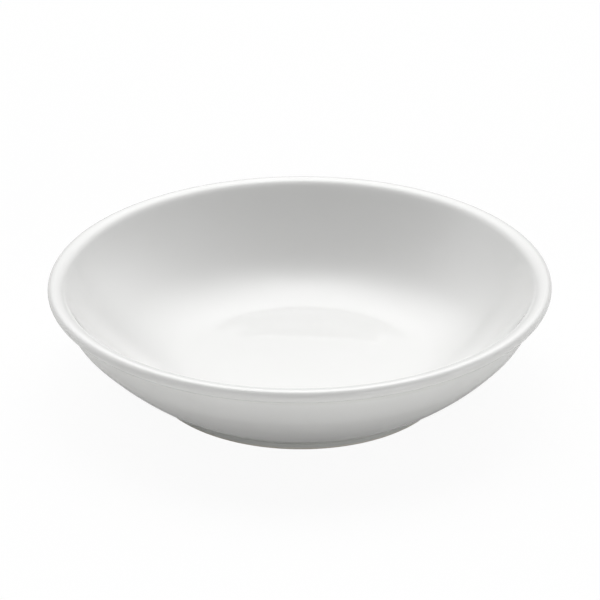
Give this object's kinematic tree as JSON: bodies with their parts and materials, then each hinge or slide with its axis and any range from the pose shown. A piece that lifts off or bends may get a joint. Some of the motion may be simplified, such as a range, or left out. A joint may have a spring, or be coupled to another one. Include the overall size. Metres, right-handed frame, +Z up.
{
  "type": "soy sauce dish",
  "caption": "Shallow round porcelain dish for a dipping sauce, with a flat floor, a curved wall, a rounded lip and a short foot ring.",
  "frame": {"origin": "centre of the foot ring, on the table surface it stands on", "axes": "+Z up along the dish's axis of symmetry, X and Y across the dish"},
  "size_m": [0.1, 0.1, 0.0231],
  "materials": {
    "bare_porcelain": "fired and left unglazed, smooth and matt",
    "glaze": "clear gloss glaze on white porcelain"
  },
  "bodies": {
    "root": {"porcelain_body": "bare_porcelain", "glaze_coat": "glaze", "foot_well_glaze": "glaze"}
  },
  "joints": []
}
